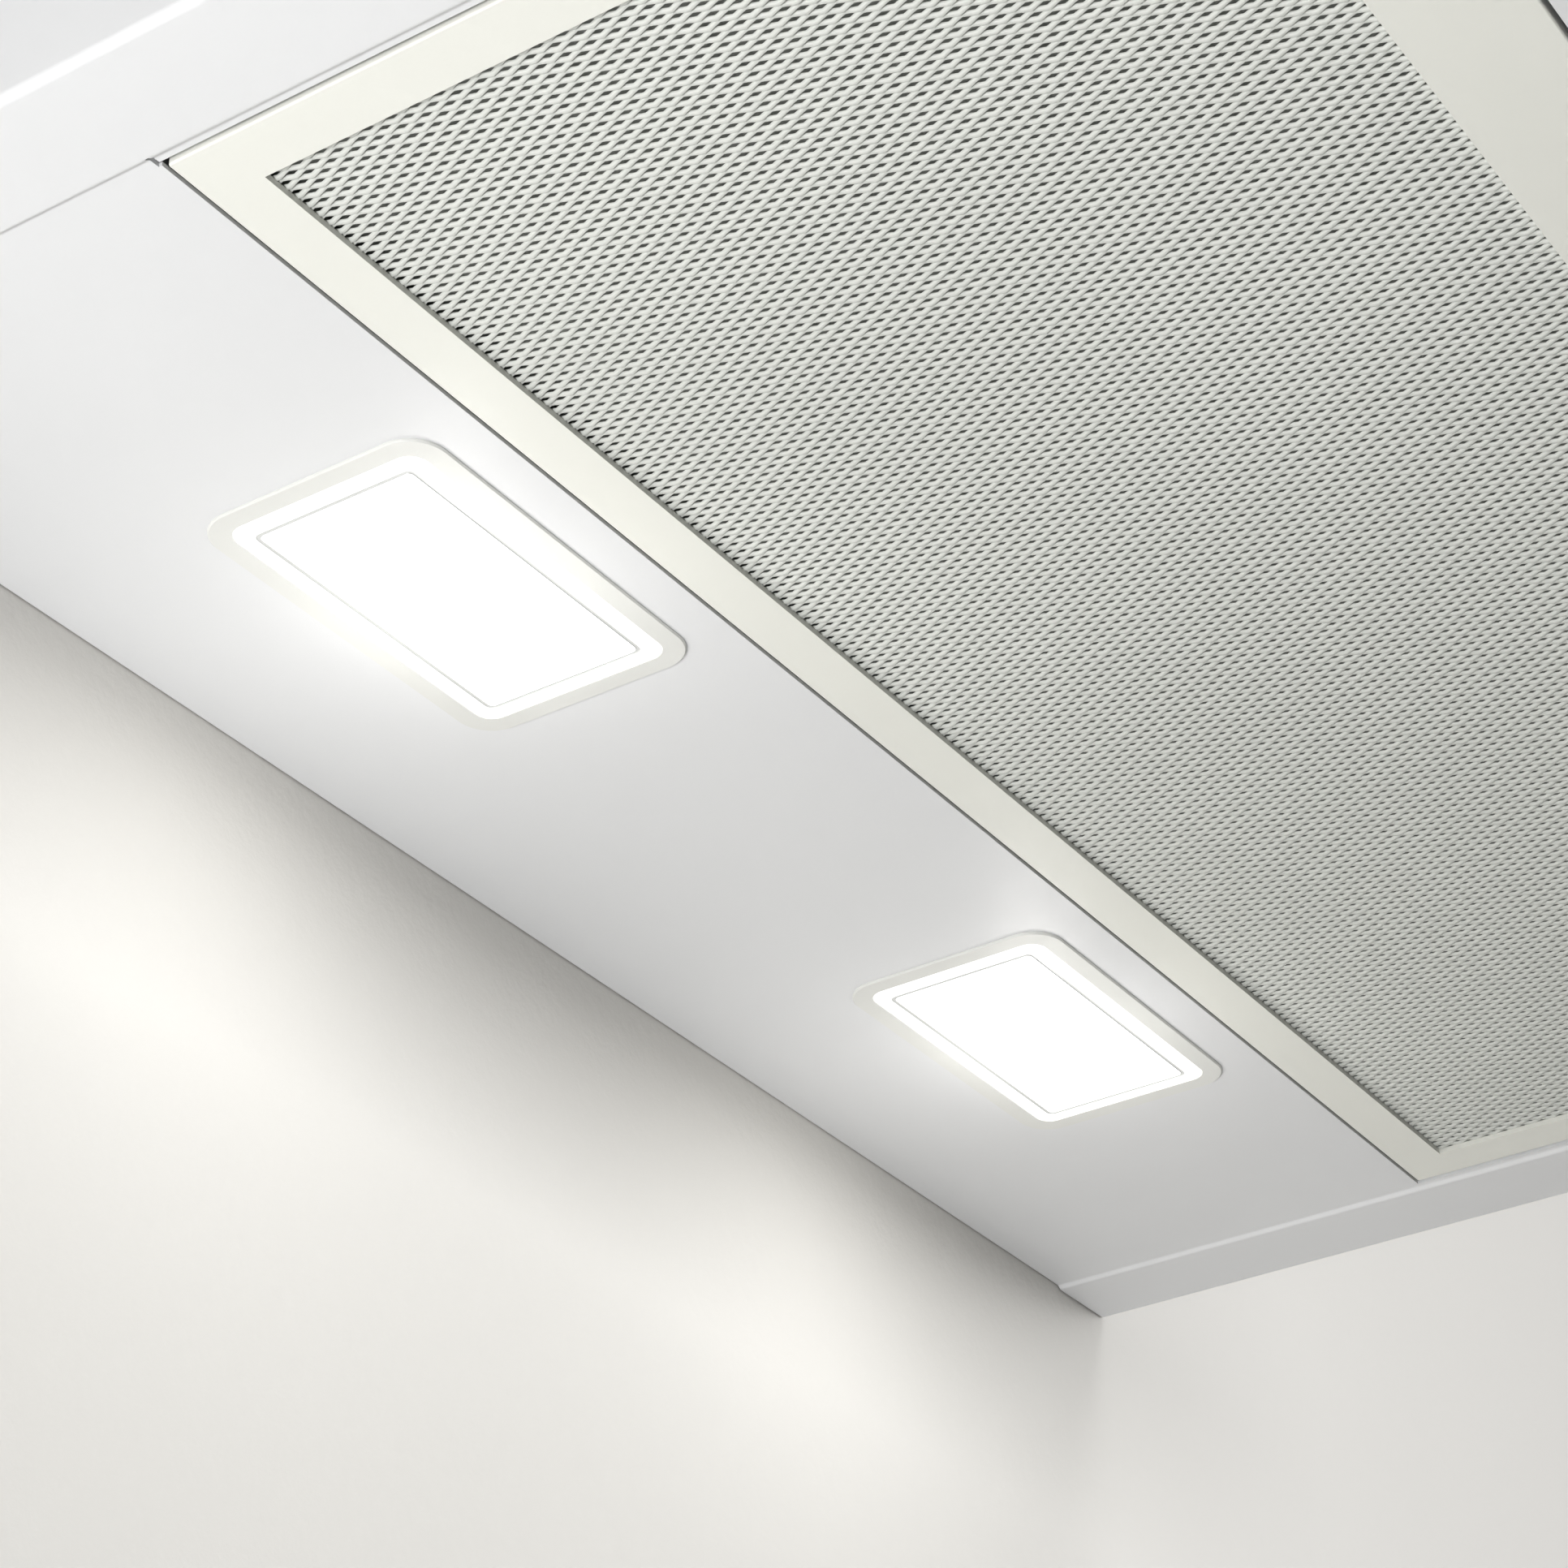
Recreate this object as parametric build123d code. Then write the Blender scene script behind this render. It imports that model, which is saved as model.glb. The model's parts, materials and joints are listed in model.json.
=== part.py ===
from build123d import *
import math
import os

# Under cabinet range hood, 60 cm class.  Millimetres, +Z up, +X to the right
# when facing the wall, +Y towards the wall.  The origin is the centre of the
# four cabinet screw holes, on the top face of the hood.

# ---------------------------------------------------------------- dimensions
W = 598.0            # overall width
HALF = W / 2
Y_WALL = 160.0       # rear face, against the wall
Y_FRONT = -340.0     # front face of the control fascia
H_BODY = 149.5       # height of the box at the rear
T = 1.0              # painted steel sheet
Y_BREAK = -150.0     # where the flat top turns into the sloped front
Z_LIP = -103.0       # top edge of the control fascia
FASCIA_T = 2.0
REAR_R = 3.0         # plan radius of the rear corners

STRIP_IN = 271.6     # inner edge of the low end strips (from the centre)
PANEL_OUT = 270.5    # outer edge of the raised panel
JOG = 1.0            # height of the step between strip and panel
JOG_OFF = T * math.tan(math.atan2(JOG, STRIP_IN - PANEL_OUT) / 2)
Z_PANEL = -H_BODY + JOG          # underside of the lamp panel: -148.5

FLT_HALF = 267.5     # filter half width
FLT_REAR = Y_WALL - 120.6        # 39.4
FLT_FRONT = FLT_REAR - 228.8     # -189.4
FLT_H = 9.0
FLT_SHEET = 1.0
FLT_FACE_T = 1.5
WIN_HALF = 254.7     # mesh window half width
WIN_REAR = FLT_REAR - 12.8
WIN_FRONT = WIN_REAR - 190.0
OPEN_HALF = 269.0    # opening in the body
OPEN_REAR = FLT_REAR + 0.75
OPEN_FRONT = FLT_FRONT - 1.2

LAMP_X = 126.5
LAMP_Y = Y_WALL - 78.0
BEZ_L, BEZ_W, BEZ_R = 101.6, 61.6, 9.0
WIN_L, WIN_W, WIN_R = 91.6, 51.2, 4.5

# blower
FAN_Y, FAN_Z = -55.0, -64.0
WHEEL_R = 46.0
WHEEL_IN = 38.5
WHEEL_HALF = 38.0
DISC_HALF = 1.5
SCROLL_HALF = 42.0   # inside
SCROLL_T = 2.0
R_MAX, R_MIN, TONGUE = 68.0, 50.2, 258.5
OUT_Y0, OUT_Y1 = FAN_Y - 10.0, FAN_Y + 68.0
SPG_Y = (OUT_Y0 + OUT_Y1) / 2    # spigot centre
SPG_RO, SPG_RI, SPG_H = 59.5, 57.5, 42.0
BOLT = 55.0          # spigot screw pitch / 2
SHAFT_R = 4.0

# filter pivot
PIV_Y = FLT_REAR - 5.0
PIV_Z = Z_PANEL + 3.9
PIN_R = 1.5
FIT = 0.05           # radial running clearance

# damper flaps
FLAP_X = 3.2
FLAP_Z = 7.4

# cabinet screw holes
CAB_X, CAB_Y, CAB_R = 260.0, 100.0, 2.75
WALL_X, WALL_Z = 270.0, -30.0     # wall screw holes in the rear sheet

# buttons
BTN_X = [136.0, 160.0, 184.0, 208.0, 232.0]
BTN_Z = -126.0
BTN_L, BTN_W = 16.0, 11.0

LATCH_X = 200.0

os.makedirs("parts", exist_ok=True)
NODES = {}


# ------------------------------------------------------------------- helpers
def box(x0, x1, y0, y1, z0, z1):
    return Pos((x0 + x1) / 2, (y0 + y1) / 2, (z0 + z1) / 2) * Box(x1 - x0, y1 - y0, z1 - z0)


def rbox(cx, cy, l, w, r, z0, z1):
    """Upright prism with rounded plan corners."""
    return extrude(Pos(cx, cy, z0) * RectangleRounded(l, w, r), z1 - z0)


def cyl(cx, cy, r, z0, z1):
    return Pos(cx, cy, (z0 + z1) / 2) * Cylinder(r, z1 - z0)


def cylx(x0, x1, cy, cz, r):
    return Pos((x0 + x1) / 2, cy, cz) * Rot(0, 90, 0) * Cylinder(r, x1 - x0)


def cyly(cx, y0, y1, cz, r):
    return Pos(cx, (y0 + y1) / 2, cz) * Rot(90, 0, 0) * Cylinder(r, y1 - y0)


def prism_yz(pts, x0, x1):
    """Polygon in the Y-Z plane, extruded along X."""
    face = Plane.YZ * make_face(Polyline(*pts, close=True))
    return Pos(x0, 0, 0) * extrude(face, x1 - x0)


def prism_xz(face, y0, y1):
    """Face drawn in X-Z (as its own X, Y), extruded along Y from y0 to y1."""
    pln = Plane(origin=(0, y1, 0), x_dir=(1, 0, 0), z_dir=(0, -1, 0))
    return extrude(pln * face, y1 - y0)


def solidify(shape):
    s = shape.solids()
    return s[0] if len(s) == 1 else Compound(children=list(s))


def save(name, shape, colour=(0.8, 0.8, 0.8)):
    out = solidify(shape)
    out.label = name
    out.color = Color(*colour)
    NODES[name] = out
    export_step(out, f"parts/{name}.step")


def filleted(pts, radii):
    """Closed polygon face with a radius at chosen corners (index: radius)."""
    n = len(pts)
    edges, ends = [], []
    for i, p in enumerate(pts):
        r = radii.get(i, 0)
        a, b = Vector(*pts[i - 1], 0), Vector(*pts[(i + 1) % n], 0)
        v = Vector(*p, 0)
        if not r:
            ends.append((v, v))
            continue
        u, w = (a - v).normalized(), (b - v).normalized()
        half = math.acos(max(-1, min(1, u.dot(w)))) / 2
        d = r / math.tan(half)
        s, e = v + u * d, v + w * d
        c = v + (u + w).normalized() * (r / math.sin(half))
        m = c + (v - c).normalized() * r
        edges.append(ThreePointArc(s, m, e))
        ends.append((s, e))
    for i in range(n):
        s, e = ends[i][1], ends[(i + 1) % n][0]
        if (e - s).length > 1e-6:
            edges.append(Line(s, e))
    return make_face(Wire(edges))


PAINT = (0.93, 0.93, 0.93)
FILT = (0.94, 0.94, 0.90)
ALU = (0.75, 0.76, 0.77)
GREY = (0.35, 0.36, 0.38)
DARK = (0.12, 0.12, 0.13)
WHITE = (0.97, 0.97, 0.97)

# ----------------------------------------------------------------- the shell
# One folded sheet: underside with its two low end strips, both side walls,
# rear flanges and the turned up edges.
zb = -H_BODY
outer_pts = [(-HALF, 0), (-HALF, zb), (-STRIP_IN, zb), (-PANEL_OUT, Z_PANEL),
             (PANEL_OUT, Z_PANEL), (STRIP_IN, zb), (HALF, zb), (HALF, 0)]
outer = filleted(outer_pts, {1: 2.0, 2: 1.5, 3: 1.2, 4: 1.2, 5: 1.5, 6: 2.0})
inner_pts = [(-HALF + T, 0), (-HALF + T, zb + T), (-STRIP_IN - JOG_OFF, zb + T),
             (-PANEL_OUT - JOG_OFF, Z_PANEL + T), (PANEL_OUT + JOG_OFF, Z_PANEL + T),
             (STRIP_IN + JOG_OFF, zb + T), (HALF - T, zb + T), (HALF - T, 0)]
inner = filleted(inner_pts, {1: 1.0, 2: 0.5, 3: 2.2, 4: 2.2, 5: 0.5, 6: 1.0})
Y_SF = Y_FRONT + FASCIA_T        # front edge of the sheet work: -338
slope_in = -1.0 / math.cos(math.atan2(104.0, 190.0))


def slope_z(y, off=0.0):
    """Outer height of the sloped front at depth y."""
    return (y - Y_BREAK) * 104.0 / 190.0 + off


plan_out = Pos(0, 0, -200) * extrude(
    filleted([(-HALF, Y_SF), (HALF, Y_SF), (HALF, Y_WALL), (-HALF, Y_WALL)],
             {2: REAR_R, 3: REAR_R}), 260)
plan_in = Pos(0, 0, -200) * extrude(
    filleted([(-HALF + T, Y_SF - 5), (HALF - T, Y_SF - 5), (HALF - T, Y_WALL - T), (-HALF + T, Y_WALL - T)],
             {2: REAR_R - T, 3: REAR_R - T}), 260)
side = prism_yz([(Y_WALL, -T), (Y_BREAK + 0.2, -T), (Y_BREAK + 0.2, slope_in),
                 (Y_SF, slope_z(Y_SF, slope_in)), (Y_SF, -200), (Y_WALL, -200)], -HALF - 1, HALF + 1)
shell = prism_xz(outer, Y_SF, Y_WALL) & plan_out & side
hollow = prism_xz(inner, Y_SF - 5, Y_WALL + 1) & plan_in
shell = shell - hollow
shell -= box(-HALF + 15, HALF - 15, Y_WALL - 2, Y_WALL + 1, -132.5, 5)       # rear wall opening
shell -= box(-OPEN_HALF, OPEN_HALF, OPEN_FRONT, OPEN_REAR, -155, -140)        # filter opening
shell -= box(-STRIP_IN - 0.2, -OPEN_HALF + 1, OPEN_REAR - 0.2, OPEN_REAR + 0.8, -155, -140)   # bend relief
for sx in (-1, 1):
    shell -= rbox(sx * LAMP_X, LAMP_Y, 98.6, 56.6, 6.3, -155, -140)           # lamp cut-outs
    shell -= box(sx * LATCH_X - 24, sx * LATCH_X + 24, OPEN_FRONT - 4.4, OPEN_FRONT + 1, -155, -140)
    shell += box(*sorted((sx * (HALF - 13), sx * (HALF - T))), -147.0, 157.7, -2 * T, -T)   # top flange
shell += box(-268, 268, Y_SF, Y_SF + T, Z_PANEL + T, Z_PANEL + 13)           # front turned up edge
for sx in (-1, 1):                                                            # fascia screw holes
    for x in (60.0, 250.0):
        shell -= cyly(sx * x, Y_SF - 2, Y_SF + 4, Z_PANEL + 8, 1.8)
save("body_shell", shell, PAINT)

# Flat top sheet with the duct hole and the cabinet screw holes.
top = Pos(0, 0, -T) * extrude(
    filleted([(-HALF, Y_BREAK), (HALF, Y_BREAK), (HALF, Y_WALL), (-HALF, Y_WALL)],
             {2: REAR_R, 3: REAR_R}), T)
top -= cyl(0, SPG_Y, 58.0, -5, 5)
for sx in (-1, 1):
    for sy in (-1, 1):
        top -= cyl(sx * CAB_X, sy * CAB_Y, CAB_R, -5, 5)
        top -= cyl(sx * BOLT, SPG_Y + sy * BOLT, 2.2, -5, 5)
save("top_cover", top, PAINT)

# Sloped front sheet with a turned down lower edge behind the fascia.
front = prism_yz([(Y_BREAK, 0), (Y_SF, slope_z(Y_SF)), (Y_SF, slope_z(Y_SF) - 14),
                  (Y_SF + T, slope_z(Y_SF) - 14), (Y_SF + T, slope_z(Y_SF + T, slope_in)),
                  (Y_BREAK, slope_in)], -HALF, HALF)
for sx in (-1, 1):
    front -= box(*sorted((sx * (HALF - T - 0.3), sx * (HALF + 1))), Y_SF - 1, Y_SF + T + 1, -200,
                 slope_z(Y_SF + T, slope_in) + 0.1)
for sx in (-1, 1):
    front -= cyly(sx * 150.0, Y_SF - 3, Y_SF + 4, slope_z(Y_SF) - 9, 1.8)
save("front_cover", front, PAINT)

# Rear sheet, held behind the flanges.
back = box(-296, 296, Y_WALL - 2 * T, Y_WALL - T, -146.5, -T)
for sx in (-1, 1):
    back -= cyly(sx * WALL_X, Y_WALL - 5, Y_WALL + 2, WALL_Z, 3.5)
back -= cyly(-200.0, Y_WALL - 5, Y_WALL + 2, -22.0, 8.0)
save("back_panel", back, PAINT)

# Control fascia: a moulded strip with button openings and screw bosses.
fascia = box(-HALF, HALF, Y_FRONT, Y_SF, -H_BODY, Z_LIP)
fascia = fillet(fascia.edges().filter_by(Axis.Z).group_by(Axis.Y)[0], 1.2)
for x in BTN_X:
    fascia -= box(x - BTN_L / 2, x + BTN_L / 2, Y_FRONT - 1, Y_SF + 1, BTN_Z - BTN_W / 2, BTN_Z + BTN_W / 2)
for sx in (-1, 1):
    for x in (60.0, 250.0):
        fascia -= cyly(sx * x, Y_FRONT + 0.7, Y_SF + 1, Z_PANEL + 8, 1.45)
save("control_fascia", fascia, PAINT)

# Cross rail in front of the filter, with a ledge the filter closes against.
fr = prism_yz([(-207, Z_PANEL + T), (-197, Z_PANEL + T), (-196, Z_PANEL + T), (-196, -139.2), (-184.6, -139.2),
               (-184.6, -138.2), (-197, -138.2), (-197, Z_PANEL + 2 * T), (-207, Z_PANEL + 2 * T)], -266, 266)
save("front_cross_rail", fr, ALU)

# Divider between the lamp bay and the filter bay.
rr = prism_yz([(42.6, Z_PANEL + T), (49.2, Z_PANEL + T), (49.2, Z_PANEL + 2 * T), (43.6, Z_PANEL + 2 * T),
               (43.6, -101), (52, -101), (52, -100), (42.6, -100)], -266, 266)
save("rear_cross_rail", rr, ALU)

# Hinge brackets for the filter.
for name, sx in (("left", -1), ("right", 1)):
    def xr(a, b):
        return sorted((sx * a, sx * b))
    zf = Z_PANEL + T
    b = box(*xr(269.1, 270.7), 24, 41, zf, -136)
    b += box(*xr(270.7, 285), 24, 41, zf, zf + 1.5)
    for y in (29, 37):
        b += cyl(sx * 280, y, 2.5, -H_BODY + T, zf)
    b -= cylx(*xr(266, 273), PIV_Y, PIV_Z, PIN_R + FIT)
    save(f"filter_hinge_bracket_{name}", b, ALU)

# -------------------------------------------------------------------- lamps
boards = None
for name, sx in (("left", -1), ("right", 1)):
    x = sx * LAMP_X
    bez = rbox(x, LAMP_Y, BEZ_L, BEZ_W, BEZ_R, Z_PANEL - 0.7, Z_PANEL)
    bez = chamfer(bez.faces().sort_by(Axis.Z)[0].edges(), 0.35)
    bez += rbox(x, LAMP_Y, 98.0, 56.0, 6.0, Z_PANEL, Z_PANEL + 6.5)
    bez -= rbox(x, LAMP_Y, WIN_L, WIN_W, WIN_R, Z_PANEL - 3, Z_PANEL + 10)
    for s in (-1, 1):                      # snap tabs above the sheet
        bez += box(x - 8, x + 8, *sorted((LAMP_Y + s * 28, LAMP_Y + s * 29.6)), Z_PANEL + T + 0.4, Z_PANEL + T + 2.4)
    save(f"lamp_bezel_{name}", bez, (0.86, 0.86, 0.84))
    lens = rbox(x, LAMP_Y, WIN_L, WIN_W, WIN_R, Z_PANEL - 0.9, Z_PANEL + 2.0)
    lens = fillet(lens.faces().sort_by(Axis.Z)[0].edges(), 0.8)
    lens -= rbox(x, LAMP_Y, WIN_L - 11, WIN_W - 11, 2.5, Z_PANEL + 0.6, Z_PANEL + 5)
    save(f"lamp_lens_{name}", lens, WHITE)
    board = rbox(x, LAMP_Y, 88, 46, 3, Z_PANEL + 8.5, Z_PANEL + 10.1)
    for ix in range(6):
        for iy in range(2):
            cx, cy = x - 35 + 14 * ix, LAMP_Y - 9 + 18 * iy
            board += box(cx - 1.75, cx + 1.75, cy - 1.4, cy + 1.4, Z_PANEL + 7.7, Z_PANEL + 8.5)
    boards = board if boards is None else boards + board
    hou = rbox(x, LAMP_Y, 98.0, 56.0, 6.0, Z_PANEL + 6.5, Z_PANEL + 24)
    hou -= rbox(x, LAMP_Y, 94.0, 52.0, 4.5, Z_PANEL + 5, Z_PANEL + 10.1)
    hou -= rbox(x, LAMP_Y, 84.0, 42.0, 3.0, Z_PANEL + 10.1, Z_PANEL + 22)
    for i in range(7):                     # cooling slots on top
        cx = x - 33 + 11 * i
        hou -= box(cx - 1.5, cx + 1.5, LAMP_Y - 14, LAMP_Y + 14, Z_PANEL + 21, Z_PANEL + 25)
    save(f"lamp_housing_{name}", hou, ALU)

save("led_boards", boards, (0.9, 0.95, 0.9))

drv = box(-62, 62, 100, 138, -25, -T)
drv = fillet(drv.edges().filter_by(Axis.Z), 2.0)
save("led_driver", drv, WHITE)

# ------------------------------------------------------------------- blower
def spiral(extra):
    pts = []
    steps = 36
    for i in range(steps + 1):
        a = math.radians(TONGUE * i / steps)
        r = R_MAX - (R_MAX - R_MIN) * i / steps + extra
        pts.append((FAN_Y + r * math.cos(a), FAN_Z - r * math.sin(a)))
    return pts


Z_FL = -3.0          # top of the scroll's outlet flange (under the gasket)
sp_in = spiral(0.0)
sp_out = spiral(SCROLL_T)


def scroll_face(pts, y0, y1, z1):
    edge = Spline(*[(p[0], p[1]) for p in pts])
    lines = [edge, Line((pts[-1][0], pts[-1][1]), (y0, pts[-1][1] + 4)),
             Line((y0, pts[-1][1] + 4), (y0, z1)), Line((y0, z1), (y1, z1)), Line((y1, z1), (pts[0][0], pts[0][1]))]
    return make_face(Wire(lines))


f_in = scroll_face(sp_in, OUT_Y0, OUT_Y1, 10.0)
f_out = scroll_face(sp_out, OUT_Y0 - SCROLL_T, OUT_Y1 + SCROLL_T, Z_FL)


def along_x(face, x0, x1):
    return Pos(x0, 0, 0) * extrude(Plane.YZ * face, x1 - x0)


EARS = [(FAN_Y + 49.6, FAN_Z - 49.6), (FAN_Y - 50, FAN_Z - 40), (FAN_Y - 58, FAN_Z + 20)]
for name, sx in (("left", -1), ("right", 1)):
    def xr(a, b):
        return sorted((sx * a, sx * b))
    lo, hi = xr(0, SCROLL_HALF + SCROLL_T)
    s = along_x(f_out, lo, hi)
    s += box(*xr(0, 63), SPG_Y - 63, SPG_Y + 63, Z_FL - 2.5, Z_FL)
    for (y, z) in EARS:
        s += cylx(*xr(0, 5), y, z, 6)
    lo, hi = xr(-1, SCROLL_HALF)
    s -= along_x(f_in, lo, hi)
    lo, hi = xr(SCROLL_HALF - 1, SCROLL_HALF + 10)
    s -= cylx(lo, hi, FAN_Y, FAN_Z, 38.0)
    for (y, z) in EARS:
        s -= cylx(*xr(-1, 6), y, z, 1.8)
    for sy in (-1, 1):
        s -= cyl(sx * BOLT, SPG_Y + sy * BOLT, 2.2, -12, 2)
    if sx > 0:                             # bell mouth of the free inlet
        ring = cylx(44, 48, FAN_Y, FAN_Z, 42.0) - cylx(43, 49, FAN_Y, FAN_Z, 38.0)
        s += ring
    save(f"scroll_housing_{name}", s, GREY)

scr = None
for (y, z) in EARS:
    p = cylx(-8.2, 5.2, y, z, 1.7) + cylx(5.0, 7.0, y, z, 3.2) + cylx(-8.0, -5.0, y, z, 3.2)
    scr = p if scr is None else scr + p
screws = scr

gas = box(-63, 63, SPG_Y - 63, SPG_Y + 63, Z_FL, -T) - cyl(0, SPG_Y, 58.5, -5, 2)
for sx in (-1, 1):
    for sy in (-1, 1):
        gas -= cyl(sx * BOLT, SPG_Y + sy * BOLT, 2.6, -5, 2)
save("outlet_gasket", gas, DARK)

# Duct spigot with the stop ring and centre bar for the damper flaps.
spg = rbox(0, SPG_Y, 136, 136, 8, 0, 2.2) + cyl(0, SPG_Y, SPG_RO, 0, SPG_H)
spg -= cyl(0, SPG_Y, SPG_RI, -1, SPG_H + 1)
spg += cyl(0, SPG_Y, SPG_RI + 0.5, 3.0, 5.5) - cyl(0, SPG_Y, 54.5, 2, 7)
spg += box(-0.8, 0.8, SPG_Y - 57.8, SPG_Y + 57.8, 3.0, 7.5)
for sx in (-1, 1):
    for sy in (-1, 1):
        spg -= cyl(sx * BOLT, SPG_Y + sy * BOLT, 2.2, -1, 4)
    spg -= cyly(sx * FLAP_X, SPG_Y - 70, SPG_Y + 70, FLAP_Z, 1.2 + FIT)
save("duct_spigot", spg, GREY)

scr = None
for sx in (-1, 1):
    for sy in (-1, 1):
        x, y = sx * BOLT, SPG_Y + sy * BOLT
        p = cyl(x, y, 2.0, -10.5, 2.4) + cyl(x, y, 4.0, 2.2, 4.6) + cyl(x, y, 3.6, -8.7, -5.5)
        scr = p if scr is None else scr + p
save("blower_screws", screws + scr, ALU)

# Damper flaps: half discs with a hinge barrel and two stub pivots.
for name, sx in (("left", -1), ("right", 1)):
    disc = cyl(0, SPG_Y, 56.3, FLAP_Z - 0.6, FLAP_Z + 0.6)
    disc &= box(*sorted((sx * FLAP_X, sx * 60)), SPG_Y - 60, SPG_Y + 60, 0, 20)
    disc += cyly(sx * FLAP_X, SPG_Y - 53.6, SPG_Y + 53.6, FLAP_Z, 1.7)
    disc += cyly(sx * FLAP_X, SPG_Y - 59.0, SPG_Y + 59.0, FLAP_Z, 1.2)
    save(f"damper_flap_{name}", disc, DARK)

# Impeller: centre disc with its hub, and a ring of curved blades on each side of it.
NB = 36
pts, pts2 = [], []
for k in range(6):
    t = k / 5.0
    r = WHEEL_IN - 0.3 + (WHEEL_R - 0.3 - WHEEL_IN + 0.3) * t
    ang = 0.16 * t * t - 0.02 * t
    pts.append((r * math.cos(ang), r * math.sin(ang)))
    pts2.insert(0, (r * math.cos(ang + 0.9 / r), r * math.sin(ang + 0.9 / r)))
blade = make_face(Polyline(*(pts + pts2), close=True))
faces = [Rot(0, 0, 360.0 * k / NB) * blade for k in range(NB)]

disc = cylx(-DISC_HALF, DISC_HALF, FAN_Y, FAN_Z, WHEEL_R)
disc += cylx(-9, 13, FAN_Y, FAN_Z, 9.0)
disc -= cylx(-20, 20, FAN_Y, FAN_Z, SHAFT_R)
save("impeller_disc", disc, DARK)

for name, sx in (("left", -1), ("right", 1)):
    lo, hi = sorted((sx * (WHEEL_HALF - 2.5), sx * WHEEL_HALF))
    ring = cylx(lo, hi, FAN_Y, FAN_Z, WHEEL_R + 0.5) - cylx(lo - 1, hi + 1, FAN_Y, FAN_Z, WHEEL_IN - 0.8)
    x0, x1 = sorted((sx * DISC_HALF, sx * (WHEEL_HALF - 1.0)))
    cage = [Pos(x0, FAN_Y, FAN_Z) * extrude(Plane.YZ * f, x1 - x0) for f in faces]
    rx0, rx1 = sorted((sx * DISC_HALF, sx * (DISC_HALF + 1.2)))
    foot = cylx(rx0, rx1, FAN_Y, FAN_Z, WHEEL_R) - cylx(rx0 - 1, rx1 + 1, FAN_Y, FAN_Z, WHEEL_IN - 0.8)
    ring = ring.fuse(foot, *cage)
    save(f"impeller_blades_{name}", ring, DARK)

shaft = cylx(-90, 19, FAN_Y, FAN_Z, SHAFT_R)
save("motor_shaft", shaft, ALU)
nut = Pos(13, FAN_Y, FAN_Z) * extrude(Plane.YZ * RegularPolygon(7.0, 6), 5.0)
nut -= cylx(10, 20, FAN_Y, FAN_Z, SHAFT_R)
save("impeller_nut", nut, ALU)
rotor = cylx(-72, -40, FAN_Y, FAN_Z, 17.5) - cylx(-75, -30, FAN_Y, FAN_Z, SHAFT_R)
save("motor_rotor", rotor, ALU)
stator = cylx(-72, -40, FAN_Y, FAN_Z, 27.0) - cylx(-75, -30, FAN_Y, FAN_Z, 18.0)
for k in range(6):
    a = math.radians(60 * k)
    stator -= cylx(-75, -30, FAN_Y + 21.5 * math.cos(a), FAN_Z + 21.5 * math.sin(a), 2.4)
save("motor_stator", stator, (0.5, 0.32, 0.2))
# Motor casing in two cups that meet at the middle of the stator.
cup = cylx(-90, -56, FAN_Y, FAN_Z, 28.5) - cylx(-87, -50, FAN_Y, FAN_Z, 27.0)
cup -= cylx(-95, -80, FAN_Y, FAN_Z, 11.0)
cup += cylx(-87, -79, FAN_Y, FAN_Z, 13.5) - cylx(-95, -70, FAN_Y, FAN_Z, 11.0)
for k in range(8):
    a = math.radians(22.5 + 45 * k)
    cup -= cylx(-95, -86, FAN_Y + 20.5 * math.cos(a), FAN_Z + 20.5 * math.sin(a), 3.0)
save("motor_casing_outer", cup, ALU)
cup = cylx(-56, -26, FAN_Y, FAN_Z, 28.5) - cylx(-60, -29, FAN_Y, FAN_Z, 27.0)
cup -= cylx(-37, -20, FAN_Y, FAN_Z, 11.0)
cup += cylx(-37, -29, FAN_Y, FAN_Z, 13.5) - cylx(-45, -20, FAN_Y, FAN_Z, 11.0)
for k in range(8):
    a = math.radians(22.5 + 45 * k)
    cup -= cylx(-30, -20, FAN_Y + 20.5 * math.cos(a), FAN_Z + 20.5 * math.sin(a), 3.0)
save("motor_casing_inner", cup, ALU)
brg = (cylx(-87, -80, FAN_Y, FAN_Z, 11.0) + cylx(-36, -29, FAN_Y, FAN_Z, 11.0)) - cylx(-99, 0, FAN_Y, FAN_Z, SHAFT_R + 0.03)
save("motor_bearings", brg, ALU)
iso = cylx(-47, -44, FAN_Y, FAN_Z, 31.5) - cylx(-50, -40, FAN_Y, FAN_Z, 28.5)
save("motor_isolator_ring", iso, DARK)
spider = cylx(-47, -44, FAN_Y, FAN_Z, 34.5) + (cylx(-47, -44, FAN_Y, FAN_Z, 49.5) - cylx(-48, -43, FAN_Y, FAN_Z, 43.0))
for k in range(3):
    arm = Pos(-45.5, FAN_Y, FAN_Z) * Rot(90 + 120 * k, 0, 0) * Pos(0, 38, 0) * Box(3, 14, 9)
    spider += arm
spider -= cylx(-50, -40, FAN_Y, FAN_Z, 31.5)
save("motor_bracket", spider, ALU)

cap = cyly(92, -82, -38, -19, 14.0)
cap = fillet(cap.edges(), 1.5)
save("motor_capacitor", cap, WHITE)
clip = cyly(92, -68, -52, -19, 15.2) - cyly(92, -69, -51, -19, 14.0)
clip += box(76, 108, -68, -52, -2.5, -T) + box(86, 98, -68, -52, -6, -2)
clip -= box(70, 115, -70, -50, -40, -26)
clip -= cyly(92, -69, -51, -19, 14.0)
save("capacitor_clip", clip, ALU)

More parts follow.
